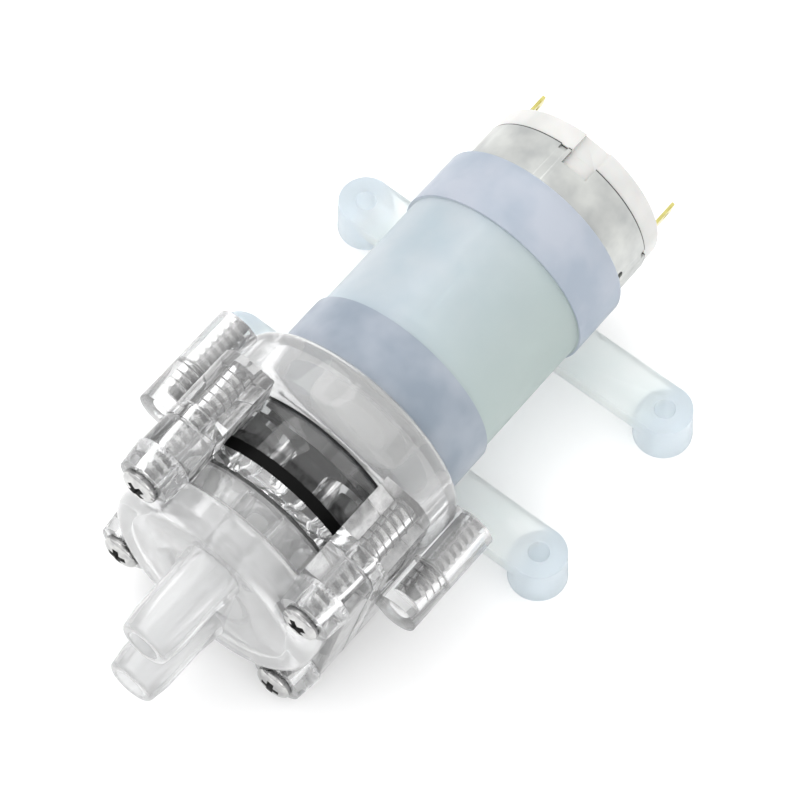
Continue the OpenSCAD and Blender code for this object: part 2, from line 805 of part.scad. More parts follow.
// Moving feet of the three cups, snapped through the wobble plate
module diaphragm_feet() {
    color([0.08, 0.08, 0.08]) on_pin() at_cups(cup_ring_r) {
        disc(pad_back, pad_back + pad_t, foot_pad_r);
        disc(plate_t0, pad_back, neck_r);
        translate([0, 0, plate_t0 - 1.2]) cylinder(h = 1.2, r1 = bulb_r * 0.5, r2 = bulb_r);
    }
}

mounting_sleeve();
motor_can();
field_magnets();
magnet_clip();
front_bearing();
rear_bearing();
end_cap();
terminals();
brush_arms();
carbon_brushes();
motor_screws();
crankcase();
cup_seat();
rear_screws();
diaphragm();
valve_plate();
inlet_valves();
outlet_valve();
manifold_body();
face_seal();
spout_cover();
front_screws();
motor_shaft();
armature_core();
armature_windings();
commutator_base();
commutator_segments();
thrust_washers();
eccentric_wheel();
crank_pin();
wobble_plate();
diaphragm_feet();
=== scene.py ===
"""A small diaphragm pump with a clear head, a motor in a soft sleeve, and four soft legs.

Lengths are in metres. The pump lies along Y with its spouts towards -Y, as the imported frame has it.
"""
import json
import math

import bpy
from mathutils import Matrix, Vector


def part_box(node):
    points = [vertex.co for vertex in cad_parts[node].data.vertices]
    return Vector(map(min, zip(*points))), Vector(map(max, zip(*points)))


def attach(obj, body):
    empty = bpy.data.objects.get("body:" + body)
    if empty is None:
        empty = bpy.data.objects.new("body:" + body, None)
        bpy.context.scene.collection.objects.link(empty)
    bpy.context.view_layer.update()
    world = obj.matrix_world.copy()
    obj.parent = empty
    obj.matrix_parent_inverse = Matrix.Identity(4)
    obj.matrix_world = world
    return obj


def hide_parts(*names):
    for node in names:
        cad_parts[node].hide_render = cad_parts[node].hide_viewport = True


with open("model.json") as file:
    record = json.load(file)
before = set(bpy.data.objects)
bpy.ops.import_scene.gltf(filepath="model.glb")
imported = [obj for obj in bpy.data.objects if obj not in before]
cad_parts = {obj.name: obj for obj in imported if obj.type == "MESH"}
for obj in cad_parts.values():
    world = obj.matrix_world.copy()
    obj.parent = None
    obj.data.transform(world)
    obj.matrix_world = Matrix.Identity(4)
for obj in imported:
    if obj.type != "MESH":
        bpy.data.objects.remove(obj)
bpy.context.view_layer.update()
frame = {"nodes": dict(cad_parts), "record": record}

MM = 0.001

# Points of a mesh nearer than this are one
MERGE = 0.002 * MM

# The pump's own axis, and the direction that is up on its head, which is turned in the sleeve
mounts = {m["name"]: Vector(m["pos_m"]) for m in frame["record"]["mounts"] if "pos_m" in m}
HEAD_UP = (mounts["upper_spout"] - mounts["lower_spout"]).normalized()
AXIS_POINT = (mounts["upper_spout"] + mounts["lower_spout"]) / 2
FORWARD = Vector((0, -1, 0))
AXIS_HEIGHT = AXIS_POINT.z

# Screws, which are all of one kind but for their length
SCREW_R = 1.57 * MM
SCREW_CORE_R = 1.12 * MM
THREAD_PITCH = 1.25 * MM
SCREW_HEAD_R = 2.7 * MM
SCREW_HEAD_H = 1.6 * MM
SCREW_HEAD_RIM = 0.7 * MM
CROSS_W = 1.15 * MM
CROSS_LEN = 3.7 * MM
CROSS_DEEP = 1.2 * MM
CROSS_OVER = 0.4 * MM
POINT_LEN = 1.1 * MM

# Air between two clear mouldings that touch, in mm
SEAM = 0.012

# Thickness of the diaphragm's flange
FILM_THICK = 1.7 * MM

# How far back the soft diaphragm is pressed against the cup seat, so that no air shows between them
PRESSED = 0.04 * MM

# The four tubes that hold the front screws, and the two ears
TUBE_PLACE = 13.5 * MM
SCREW_TUBE_R = 4 * MM
EAR_PLACE = 20.5 * MM

# The window's side walls, this far either side of the middle
WINDOW_HALF = TUBE_PLACE - SCREW_TUBE_R

# The hollows inside the head are within this radius
HOLLOW_R = 15 * MM


def deselect_all():
    """Leaves nothing selected, in object mode."""
    if bpy.context.object and bpy.context.object.mode != "OBJECT":
        bpy.ops.object.mode_set(mode="OBJECT")
    for o in bpy.context.selected_objects:
        o.select_set(False)


def only(obj):
    """Makes obj the one selected and active object."""
    deselect_all()
    obj.select_set(True)
    bpy.context.view_layer.objects.active = obj
    return obj


def added(name):
    """Names the object that was just made."""
    obj = bpy.context.object
    obj.name = obj.data.name = name
    return obj


def edit(obj, action="SELECT"):
    """Opens obj in edit mode with everything selected, or nothing if action is DESELECT."""
    only(obj)
    bpy.ops.object.mode_set(mode="EDIT")
    bpy.ops.mesh.select_all(action=action)


def done():
    bpy.ops.object.mode_set(mode="OBJECT")


def apply_modifier(obj, kind, **settings):
    """Adds a modifier, sets it and applies it."""
    only(obj)
    m = obj.modifiers.new(kind.title(), kind)
    for key, value in settings.items():
        setattr(m, key, value)
    bpy.ops.object.modifier_apply(modifier=m.name)


def smooth(obj, degrees=35):
    only(obj)
    bpy.ops.object.shade_smooth_by_angle(angle=math.radians(degrees))


def placed(obj, place):
    """Puts a place matrix into the mesh, so that the object itself stays at the origin."""
    obj.data.transform(place)
    obj.data.update()
    return obj


def joined(parts, name):
    """Joins the parts in one object of that name."""
    deselect_all()
    for part in parts:
        part.select_set(True)
    bpy.context.view_layer.objects.active = parts[0]
    bpy.ops.object.join()
    return added(name)


def set_finish(obj, material):
    obj.data.materials.clear()
    obj.data.materials.append(material)


def softened(node, name, width, segments=2, gap=0.0, angle=32, shading=35):
    """A copy of a CAD node's mesh, merged, with its moulded edges rounded, that stands for the node."""
    deselect_all()
    source = frame["nodes"][node]
    obj = bpy.data.objects.new(name, source.data.copy())
    obj.data.name = name
    bpy.context.scene.collection.objects.link(obj)
    edit(obj)
    bpy.ops.mesh.remove_doubles(threshold=MERGE)
    bpy.ops.mesh.dissolve_limited(angle_limit=math.radians(0.6))
    done()
    apply_modifier(
        obj, "BEVEL", width=width, segments=segments, limit_method="ANGLE",
        angle_limit=math.radians(angle), use_clamp_overlap=True, miter_outer="MITER_ARC",
    )
    if gap:
        edit(obj)
        bpy.ops.transform.shrink_fatten(value=-gap, use_even_offset=True)
        done()
    smooth(obj, shading)
    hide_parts(node)
    return obj


def along_axis(x, y, station_y, facing=FORWARD):
    """The frame of something that stands on the head's own axes: its +Z looks along facing."""
    origin = AXIS_POINT + HEAD_UP.cross(FORWARD) * x + HEAD_UP * y
    origin.y = station_y
    z = facing.normalized()
    y_dir = HEAD_UP
    x_dir = y_dir.cross(z)
    turn = Matrix((x_dir, y_dir, z)).transposed().to_4x4()
    return Matrix.Translation(origin) @ turn


def front_screw_places(station_y):
    return [along_axis(x * TUBE_PLACE, y * TUBE_PLACE, station_y) for x in (-1, 1) for y in (-1, 1)]


# Finishes

# Width of the blend from one look to the next at a radius
REACH_BLEND = 0.1 * MM


class Finish:
    """A Principled material whose patterns read Object coordinates."""

    def __init__(self, name, **constants):
        self.material = bpy.data.materials.new(name)
        self.material.use_nodes = True
        self.tree = self.material.node_tree
        self.nodes = self.tree.nodes
        self.shader = self.nodes["Principled BSDF"]
        self.coordinates = self.add("ShaderNodeTexCoord").outputs["Object"]
        for socket, value in constants.items():
            self.shader.inputs[socket].default_value = value

    def add(self, kind, **settings):
        node = self.nodes.new(kind)
        for key, value in settings.items():
            setattr(node, key, value)
        return node

    def link(self, source, target):
        self.tree.links.new(source, target)

    def noise(self, size, detail=2.0, stretch=(1, 1, 1), rough=0.5):
        """Noise whose blobs are about size across, in metres."""
        mapping = self.add("ShaderNodeMapping")
        mapping.inputs["Scale"].default_value = stretch
        self.link(self.coordinates, mapping.inputs["Vector"])
        noise = self.add("ShaderNodeTexNoise")
        noise.inputs["Scale"].default_value = 1 / size
        noise.inputs["Detail"].default_value = detail
        noise.inputs["Roughness"].default_value = rough
        self.link(mapping.outputs[0], noise.inputs["Vector"])
        return noise.outputs["Fac"]

    def ranged(self, source, low, high, from_low=0.35, from_high=0.65):
        """Low to high as the source goes from from_low to from_high, held at the ends."""
        node = self.add("ShaderNodeMapRange")
        node.inputs["From Min"].default_value = from_low
        node.inputs["From Max"].default_value = from_high
        node.inputs["To Min"].default_value = low
        node.inputs["To Max"].default_value = high
        self.link(source, node.inputs["Value"])
        return node.outputs["Result"]

    def mixed(self, factor, a, b):
        """A colour between a and b, each a colour or a socket."""
        node = self.add("ShaderNodeMix", data_type="RGBA")
        colour_sockets = [s for s in node.inputs if s.type == "RGBA"]
        for socket, value in zip(colour_sockets, (a, b)):
            if hasattr(value, "links"):
                self.link(value, socket)
            else:
                socket.default_value = (*value, 1)
        self.link(factor, node.inputs["Factor"])
        return next(s for s in node.outputs if s.type == "RGBA")

    def colour(self, a, b, size, detail=2.0, stretch=(1, 1, 1)):
        factor = self.ranged(self.noise(size, detail, stretch), 0, 1)
        self.feed("Base Color", self.mixed(factor, a, b))
        return self

    def roughness(self, low, high, size, stretch=(1, 1, 1)):
        self.feed("Roughness", self.ranged(self.noise(size, 3, stretch), low, high))
        return self

    def bump(self, size, depth, detail=2.0, stretch=(1, 1, 1)):
        node = self.add("ShaderNodeBump")
        node.inputs["Strength"].default_value = 1
        node.inputs["Distance"].default_value = depth
        self.link(self.noise(size, detail, stretch), node.inputs["Height"])
        self.feed("Normal", node.outputs["Normal"])
        return self

    def current(self, name):
        """What a socket of the shader holds: the socket linked to it, or else its value."""
        socket = self.shader.inputs[name]
        if socket.is_linked:
            return socket.links[0].from_socket
        value = socket.default_value
        return tuple(value)[:3] if name == "Base Color" else value

    def feed(self, name, source):
        """Links source to a socket of the shader."""
        self.link(source, self.shader.inputs[name])

    def darken(self, where, colour):
        """Paints shade: turns the colour to a dark one where all the sockets in where are one."""
        self.feed("Base Color", self.mixed(self.product(*where), self.current("Base Color"), colour))
        return self

    def within(self, reach):
        """One up to the distance reach from the motor's axis, and zero beyond."""
        return self.ranged(self.axis_distance(), 1, 0, reach, reach + REACH_BLEND)

    def axis_distance(self):
        """Distance from the motor's axis."""
        split = self.add("ShaderNodeSeparateXYZ")
        self.link(self.coordinates, split.inputs[0])
        lifted = self.add("ShaderNodeMath", operation="SUBTRACT")
        self.link(split.outputs["Z"], lifted.inputs[0])
        lifted.inputs[1].default_value = AXIS_HEIGHT
        flat = self.add("ShaderNodeCombineXYZ")
        self.link(split.outputs["X"], flat.inputs["X"])
        self.link(lifted.outputs[0], flat.inputs["Y"])
        length = self.add("ShaderNodeVectorMath", operation="LENGTH")
        self.link(flat.outputs[0], length.inputs[0])
        return length.outputs["Value"]

    def product(self, first, *others):
        """Sockets or numbers multiplied."""
        for other in others:
            both = self.add("ShaderNodeMath", operation="MULTIPLY")
            for socket, value in zip(both.inputs, (first, other)):
                if hasattr(value, "links"):
                    self.link(value, socket)
                else:
                    socket.default_value = value
            first = both.outputs[0]
        return first

    def along(self, axis, start, end):
        """0 to 1 as the coordinate goes from start to end."""
        split = self.add("ShaderNodeSeparateXYZ")
        self.link(self.coordinates, split.inputs[0])
        return self.ranged(split.outputs[axis], 0, 1, start, end)


def clear_moulding(name, clearness, shade, rough, ripple):
    """Clear plastic: clearness below one leaves some milk in it."""
    f = Finish(name, **{
        "Base Color": (shade, shade * 1.004, shade * 1.006, 1), "Transmission Weight": clearness,
        "IOR": 1.49, "Metallic": 0.0})
    f.roughness(rough[0], rough[1], 4 * MM).bump(3.5 * MM, ripple)
    return f


def with_pale_tubes(f, reach, clearness):
    """Makes clear plastic paler outside the radius reach, where the ears and screw tubes are."""
    on_tube = f.ranged(f.axis_distance(), 0, 1, reach, reach + 3 * REACH_BLEND)
    inner = f.current("Transmission Weight")
    f.feed("Transmission Weight", f.ranged(on_tube, inner, clearness, 0, 1))
    f.feed("Base Color", f.mixed(on_tube, f.current("Base Color"), (0.96, 0.96, 0.96)))
    return f


def with_painted_crease_shade(f, rear_y, width, reach):
    """Paints shade into clear plastic near its rear face, where it meets the next moulding, up to a
    radius.
    """
    near = f.along("Y", rear_y - width - 0.08 * MM, rear_y - width)
    # Painted shade in the crease where the next moulding meets this one
    return f.darken((near, f.within(reach)), (0.1, 0.1, 0.1))


def with_film_shadow(f, front_y, width, reach):
    """Paints shade in patches into clear plastic behind the black diaphragm: a painted reflection of
    the diaphragm, which shows in it again.
    """
    near = f.along("Y", front_y + width, front_y + 0.7 * width)
    patches = f.ranged(f.noise(1.2 * MM, 3), 0.55, 1.0)
    # Painted shade in patches, standing for the diaphragm mirrored in the plastic
    return f.darken((near, patches, f.within(reach)), (0.01, 0.01, 0.01))


def with_dull_shaded_rear(f, rear_y, reach):
    """Dulls the rear face, which touches the next moulding, and greys it with painted shade beyond the
    radius reach.
    """
    touching = f.along("Y", rear_y - 0.06 * MM, rear_y - 0.04 * MM)
    dulled = f.product(f.current("Transmission Weight"), f.ranged(touching, 1, 0.3, 0, 1))
    f.feed("Transmission Weight", dulled)
    # Painted grey shade on the rear face beyond the radius reach
    beyond = f.ranged(f.axis_distance(), 0, 1, reach, reach + REACH_BLEND)
    return f.darken((touching, beyond), (0.5, 0.5, 0.5))


def seat_plastic():
    """The cup seat's clear plastic, with painted shade for the window's dark arc, patches of painted
    shade for the diaphragm mirrored in it, and a rear face greyed with painted shade.
    """
    front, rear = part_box("diaphragm")[0].y + FILM_THICK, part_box("cup_seat")[1].y
    f = clear_moulding("seat_clear_moulding", 0.95, 0.86, (0.015, 0.05), 0.03 * MM)
    with_pale_tubes(f, 16.2 * MM, 0.90)
    with_painted_crease_shade(f, rear, 0.4 * MM, 15.8 * MM)
    with_film_shadow(f, front, 1.9 * MM, 16.2 * MM)
    return with_dull_shaded_rear(f, rear, 15.8 * MM).material


def manifold_plastic():
    """The manifold's clear plastic, with painted shade for the dark arc at its seam to the valve plate,
    and a rear face greyed with painted shade.
    """
    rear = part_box("manifold_body")[1].y
    f = clear_moulding("body_clear_moulding", 0.80, 0.91, (0.04, 0.08), 0.006 * MM)
    with_painted_crease_shade(f, rear, 0.5 * MM, 17.8 * MM)
    return with_dull_shaded_rear(f, rear, 17.8 * MM).material


def sleeve_rubber():
    """Translucent blue-grey silicone: bluer on the bands and foot bosses, greener low on the right."""
    f = Finish("sleeve_rubber", **{
        "IOR": 1.41, "Subsurface Weight": 0.0, "Metallic": 0.0, "Specular IOR Level": 0.4})
    cloud = f.ranged(f.noise(9 * MM, 3), 0, 1, 0.38, 0.62)
    middle = f.mixed(cloud, (0.58, 0.675, 0.735), (0.665, 0.735, 0.785))
    green = f.mixed(f.along("X", -2 * MM, 15 * MM), middle, (0.56, 0.655, 0.63))
    rear_band = f.mixed(cloud, (0.50, 0.57, 0.67), (0.63, 0.675, 0.765))
    front_band = f.mixed(cloud, (0.37, 0.43, 0.51), (0.53, 0.575, 0.65))
    band = f.mixed(f.along("Y", -12 * MM, 8 * MM), front_band, rear_band)
    reach = f.axis_distance()
    on_band = f.ranged(reach, 0, 1, 14.7 * MM, 14.95 * MM)
    sleeve = f.mixed(on_band, green, band)
    leg = f.mixed(cloud, (0.88, 0.93, 0.92), (0.94, 0.96, 0.955))
    leg_root = (15.3 * MM, 16.5 * MM)
    body = f.mixed(f.ranged(reach, 0, 1, *leg_root), sleeve, leg)
    f.feed("Transmission Weight", f.ranged(reach, 0.45, 0.8, *leg_root))
    on_foot = f.ranged(reach, 0, 1, 28 * MM, 30 * MM)
    f.feed("Base Color", f.mixed(on_foot, body, (0.86, 0.92, 0.96)))
    return f.roughness(0.36, 0.5, 5 * MM).bump(0.35 * MM, 0.006 * MM, 3).material


def zinc_plate():
    """Satin zinc, with painted shade in the narrow seam between the can's rim and the end cap."""
    f = Finish("zinc_plate", **{"Metallic": 0.85, "IOR": 1.5})
    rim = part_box("motor_can")[1].y
    plate = f.mixed(f.ranged(f.noise(5 * MM, 3), 0, 1), (0.39, 0.40, 0.395), (0.53, 0.54, 0.52))
    # Painted shade in the seam between the can's rim and the end cap
    seam_shade = f.along("Y", rim - 0.17 * MM, rim - 0.13 * MM)
    f.feed("Base Color", f.mixed(seam_shade, plate, (0.05, 0.05, 0.05)))
    f.roughness(0.3, 0.46, 2.5 * MM, (1, 0.3, 1))
    return f.bump(0.5 * MM, 0.005 * MM, 3, (1, 0.15, 1)).material


def nylon():
    f = Finish("nylon", **{"Metallic": 0.0, "IOR": 1.53, "Subsurface Weight": 0.15,
                           "Subsurface Scale": 0.5 * MM})
    f.colour((0.55, 0.55, 0.535), (0.62, 0.615, 0.60), 6 * MM, 2)
    return f.roughness(0.38, 0.5, 2 * MM).bump(0.25 * MM, 0.004 * MM, 2).material


def brass_strip():
    f = Finish("brass_strip", **{"Metallic": 1.0})
    f.colour((0.48, 0.43, 0.14), (0.58, 0.53, 0.2), 1.5 * MM, 2)
    f.roughness(0.2, 0.34, 0.6 * MM, (1, 0.2, 1))
    return f.bump(0.2 * MM, 0.002 * MM, 2, (1, 0.1, 1)).material


def metal(name, a, b, rough, size=1 * MM, depth=0.002 * MM, stretch=(1, 1, 1)):
    """Bare or plated metal that varies from colour a to colour b."""
    f = Finish(name, **{"Metallic": 1.0})
    f.colour(a, b, size, 2, stretch)
    return f.roughness(rough[0], rough[1], size, stretch).bump(size / 3, depth, 2, stretch).material


def moulded(name, a, b, rough, size=3 * MM, depth=0.003 * MM, ior=1.5, specular=0.5):
    """Solid-coloured plastic, rubber or ceramic that varies from colour a to colour b."""
    f = Finish(name, **{"Metallic": 0.0, "IOR": ior, "Specular IOR Level": specular})
    f.colour(a, b, size, 2)
    return f.roughness(rough[0], rough[1], size).bump(size / 8, depth, 2).material


def milky(name, a, b):
    """Soft translucent silicone."""
    f = Finish(name, **{"Metallic": 0.0, "IOR": 1.41, "Transmission Weight": 0.35})
    f.colour(a, b, 2 * MM, 2)
    return f.roughness(0.3, 0.42, 1 * MM).bump(0.3 * MM, 0.003 * MM, 2).material


PLATE_CLEAR = clear_moulding("plate_clear_moulding", 0.95, 0.94, (0.015, 0.05), 0.012 * MM).material
TUBE_CLEAR = clear_moulding("tube_clear_moulding", 0.93, 0.97, (0.02, 0.05), 0.006 * MM).material
COVER_CLEAR = clear_moulding("cover_clear_moulding", 0.72, 0.90, (0.06, 0.12), 0.006 * MM).material
DOME_CLEAR = with_pale_tubes(
    clear_moulding("dome_clear_moulding", 0.78, 0.92, (0.02, 0.05), 0.006 * MM),
    18.3 * MM, 0.86).material
SEAT_CLEAR = seat_plastic()
BODY_CLEAR = manifold_plastic()
# Duller clear plastic for the window walls, with grey patches of painted shade and painted dark
# reflections
WALL_SHADED_CLEAR = clear_moulding("wall_shaded_clear_moulding", 0.3, 0.7, (0.08, 0.2), 0.03 * MM).colour(
    (0.25, 0.25, 0.25), (0.75, 0.75, 0.75), 1.6 * MM).material
SLEEVE = sleeve_rubber()
# Painted shade on the screw's root between the thread turns
THREAD_ROOT_SHADE = metal("thread_root_shade", (0.08, 0.08, 0.08), (0.15, 0.15, 0.15), (0.25, 0.4))
ZINC = zinc_plate()
NYLON = nylon()
BRASS = brass_strip()
NICKEL = metal("nickel_plate", (0.40, 0.40, 0.40), (0.54, 0.54, 0.53), (0.08, 0.2))
# Painted shade in the cross recess, on darker steel where the plating is thin
RECESS_SHADE = metal("recess_shade", (0.03, 0.03, 0.03), (0.07, 0.07, 0.07), (0.3, 0.5))
# Painted shade along the lower flank of the screw heads' rim
HEAD_EDGE_SHADE = metal("head_edge_shade", (0.18, 0.18, 0.18), (0.28, 0.28, 0.28), (0.2, 0.35))
SPRING = metal("spring_wire", (0.6, 0.6, 0.6), (0.7, 0.7, 0.69), (0.2, 0.3))
BRONZE = metal("sintered_bronze", (0.5, 0.36, 0.18), (0.64, 0.48, 0.27), (0.4, 0.6),
               0.5 * MM, 0.01 * MM)
COPPER = metal("bright_copper", (0.74, 0.42, 0.27), (0.83, 0.5, 0.33), (0.2, 0.35))
SHAFT = metal("ground_shaft", (0.6, 0.61, 0.63), (0.72, 0.73, 0.75), (0.14, 0.26),
              0.5 * MM, 0.002 * MM, (1, 6, 1))
CORE = metal("laminated_core", (0.3, 0.3, 0.32), (0.45, 0.45, 0.47), (0.4, 0.55),
             0.5 * MM, 0.01 * MM, (0.1, 2, 0.1))
MAGNET = moulded("ferrite", (0.10, 0.10, 0.11), (0.16, 0.16, 0.17), (0.6, 0.8), 0.8 * MM, 0.01 * MM)
CARBON = moulded("carbon", (0.04, 0.04, 0.045), (0.07, 0.07, 0.075), (0.45, 0.65), 0.5 * MM, 0.006 * MM)
BLACK = moulded("black_rubber", (0.0015, 0.0015, 0.0015), (0.003, 0.003, 0.003), (0.5, 0.62), 2 * MM,
                 0.006 * MM, specular=0.08)
PHENOLIC = moulded("brown_phenolic", (0.10, 0.045, 0.02), (0.16, 0.07, 0.035), (0.35, 0.5))
FIBRE = moulded("red_fibre", (0.27, 0.08, 0.04), (0.36, 0.12, 0.07), (0.6, 0.8), 0.5 * MM, 0.01 * MM)
WHEEL = moulded("wheel_plastic", (0.62, 0.62, 0.61), (0.70, 0.70, 0.69), (0.3, 0.42))
ACETAL = moulded("acetal", (0.09, 0.09, 0.09), (0.16, 0.16, 0.16), (0.28, 0.4), ior=1.48)
ENAMEL = metal("enamelled_wire", (0.40, 0.13, 0.05), (0.62, 0.25, 0.1), (0.2, 0.35),
               0.6 * MM, 0.06 * MM, (3, 0.2, 3))
VALVE = milky("valve_silicone", (0.84, 0.85, 0.84), (0.9, 0.9, 0.89))
SEAL = milky("seal_silicone", (0.82, 0.83, 0.82), (0.88, 0.88, 0.87))

NODE_FINISH = {
    "field_magnets": MAGNET, "magnet_clip": SPRING, "front_bearing": BRONZE, "rear_bearing": BRONZE,
    "brush_arms": COPPER, "carbon_brushes": CARBON, "motor_screws": NICKEL, "inlet_valves": VALVE,
    "outlet_valve": VALVE, "face_seal": SEAL, "motor_shaft": SHAFT, "armature_core": CORE,
    "armature_windings": ENAMEL, "commutator_base": PHENOLIC, "commutator_segments": COPPER,
    "thrust_washers": FIBRE, "eccentric_wheel": WHEEL, "crank_pin": SHAFT,
}


def dress_inner_nodes():
    """Finishes the CAD nodes that are shown as they are."""
    for node, material in NODE_FINISH.items():
        set_finish(frame["nodes"][node], material)
        smooth(frame["nodes"][node], 30)


SOFTENED = [
    # node, piece, body, finish, slot, edge radius, segments, seam gap, in mm
    ("mounting_sleeve", "soft_sleeve", "frame", SLEEVE, "silicone_sleeve", 0.35, 3, 0),
    ("motor_can", "steel_can", "frame", ZINC, "can_steel", 0.25, 2, 0),
    ("end_cap", "nylon_end_cap", "frame", NYLON, "nylon", 0.22, 2, 0),
    ("terminals", "brass_terminals", "frame", BRASS, "brass", 0.08, 1, 0),
    ("crankcase", "clear_crankcase", "frame", DOME_CLEAR, "clear_plastic", 0.25, 2, SEAM),
    ("cup_seat", "clear_cup_seat", "frame", SEAT_CLEAR, "clear_plastic", 0.25, 2, SEAM),
    ("valve_plate", "clear_valve_plate", "frame", PLATE_CLEAR, "clear_plastic", 0.18, 2, SEAM),
    ("manifold_body", "clear_manifold", "frame", BODY_CLEAR, "clear_plastic", 0.25, 2, SEAM),
    ("spout_cover", "clear_spout_cover", "frame", COVER_CLEAR, "clear_plastic", 0.25, 2, SEAM),
    ("diaphragm", "rubber_diaphragm", "frame", BLACK, "black_rubber", 0.08, 2, SEAM),
    ("wobble_plate", "grey_wobble_plate", "wobbler", ACETAL, "acetal", 0.2, 2, 0),
    ("diaphragm_feet", "rubber_feet", "wobbler", BLACK, "black_rubber", 0.2, 2, 0),
]


def clear_round_screws(piece):
    """Gives the tubes round the screws the clearest finish, so that the threads show."""
    piece.data.materials.append(TUBE_CLEAR)
    for face in piece.data.polygons:
        for place in front_screw_places(0):
            local = place.inverted() @ face.center
            if math.hypot(local.x, local.y) < SCREW_TUBE_R + 0.2 * MM:
                face.material_index = 1


def dull_and_shade_inner_walls(piece):
    """Gives the window's side walls, and the walls of the hollows beyond them, a duller finish with
    grey patches of painted shade.

    They are seen almost on edge, and would mirror the white ground.
    """
    piece.data.materials.append(WALL_SHADED_CLEAR)
    dull = len(piece.data.materials) - 1
    to_axis = along_axis(0, 0, 0).inverted()
    for face in piece.data.polygons:
        local = to_axis @ face.center
        outwards = Vector((local.x, local.y, 0))
        faces_in = (to_axis.to_3x3() @ face.normal).dot(outwards.normalized()) < -0.3
        on_side_wall = abs(abs(local.x) - WINDOW_HALF) < 0.15 * MM and abs(local.y) > 9 * MM
        in_hollow = abs(local.x) > WINDOW_HALF and outwards.length < HOLLOW_R and faces_in
        if on_side_wall or in_hollow:
            face.material_index = dull


def mould_main_pieces():
    """Dresses the moulded and pressed pieces with rounded edges."""
    for node, name, body, material, slot, edge, segments, gap in SOFTENED:
        piece = softened(node, name, edge * MM, segments, gap * MM)
        set_finish(piece, material)
        if material in (BODY_CLEAR, COVER_CLEAR):
            clear_round_screws(piece)
        if node in ("cup_seat", "manifold_body"):
            dull_and_shade_inner_walls(piece)
        if node == "diaphragm":
            placed(piece, Matrix.Translation((0, PRESSED, 0)))
        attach(piece, body)


def lathe(name, profile, steps=48):
    """A closed outline of (radius, height) points spun round Z."""
    deselect_all()
    bpy.ops.mesh.primitive_circle_add(vertices=3, radius=1)
    obj = added(name)
    edit(obj)
    bpy.ops.mesh.merge(type="CENTER")
    (r0, z0), *rest = profile
    bpy.ops.transform.translate(value=(r0, 0, z0))
    last = (r0, z0)
    for r, z in rest:
        step = (r - last[0], 0, z - last[1])
        bpy.ops.mesh.extrude_region_move(TRANSFORM_OT_translate={"value": step})
        last = (r, z)
    bpy.ops.mesh.select_all(action="SELECT")
    bpy.ops.mesh.spin(steps=steps, angle=2 * math.pi, center=(0, 0, 0), axis=(0, 0, 1))
    bpy.ops.mesh.select_all(action="SELECT")
    bpy.ops.mesh.remove_doubles(threshold=MERGE)
    bpy.ops.mesh.normals_make_consistent(inside=False)
    done()
    return obj


def screw_head():
    """A pan head with a cross recess, its underside at z = 0."""
    rise = SCREW_HEAD_H - SCREW_HEAD_RIM
    crown = [
        (SCREW_HEAD_R * math.cos(a), SCREW_HEAD_RIM + rise * math.sin(a))
        for a in (math.radians(d) for d in range(0, 90, 12))
    ]
    head = lathe("screw_head", [(0, 0), (SCREW_HEAD_R - 0.1 * MM, 0), (SCREW_HEAD_R, 0.1 * MM)] + crown
                 + [(0, SCREW_HEAD_H)], 56)
    for turn in (0, 90):
        deselect_all()
        middle = SCREW_HEAD_H - CROSS_DEEP / 2 + CROSS_OVER / 2
        bpy.ops.mesh.primitive_cube_add(size=1, location=(0, 0, middle))
        cutter = added("cross_cutter")
        cutter.scale = (CROSS_LEN, CROSS_W, CROSS_DEEP + CROSS_OVER)
        bpy.ops.object.transform_apply(location=True, scale=True)
        low = min(v.co.z for v in cutter.data.vertices)
        for v in cutter.data.vertices:
            v.select = abs(v.co.z - low) < 0.01 * MM
        edit_keeping_selection(cutter)
        bpy.ops.transform.resize(value=(0.42, 0.7, 1))
        done()
        placed(cutter, Matrix.Rotation(math.radians(turn), 4, "Z"))
        apply_modifier(head, "BOOLEAN", operation="DIFFERENCE", object=cutter, solver="EXACT")
        bpy.data.objects.remove(cutter)
    apply_modifier(head, "BEVEL", width=0.06 * MM, segments=2, limit_method="ANGLE",
                   angle_limit=math.radians(40))
    set_finish(head, NICKEL)
    head.data.materials.append(RECESS_SHADE)
    head.data.materials.append(HEAD_EDGE_SHADE)
    for face in head.data.polygons:
        reach = math.hypot(face.center.x, face.center.y) / SCREW_HEAD_R
        crown_height = SCREW_HEAD_RIM + rise * math.sqrt(max(0.0, 1 - reach * reach))
        # Recess faces take the painted recess shade; the low flank of the rim takes painted shade along
        # the head's edge
        if reach < 0.7 and 0.3 * MM < face.center.z < crown_height - 0.09 * MM:
            face.material_index = 1
        elif reach > 0.9 and face.center.z < SCREW_HEAD_RIM * 0.75:
            face.material_index = 2
    return head


def edit_keeping_selection(obj):
    """Opens obj in edit mode with the vertices that code has selected."""
    chosen = {v.index for v in obj.data.vertices if v.select}
    only(obj)
    bpy.ops.object.mode_set(mode="EDIT")
    bpy.ops.mesh.select_mode(type="VERT")
    bpy.ops.mesh.select_all(action="DESELECT")
    bpy.ops.object.mode_set(mode="OBJECT")
    for v in obj.data.vertices:
        v.select = v.index in chosen
    bpy.ops.object.mode_set(mode="EDIT")


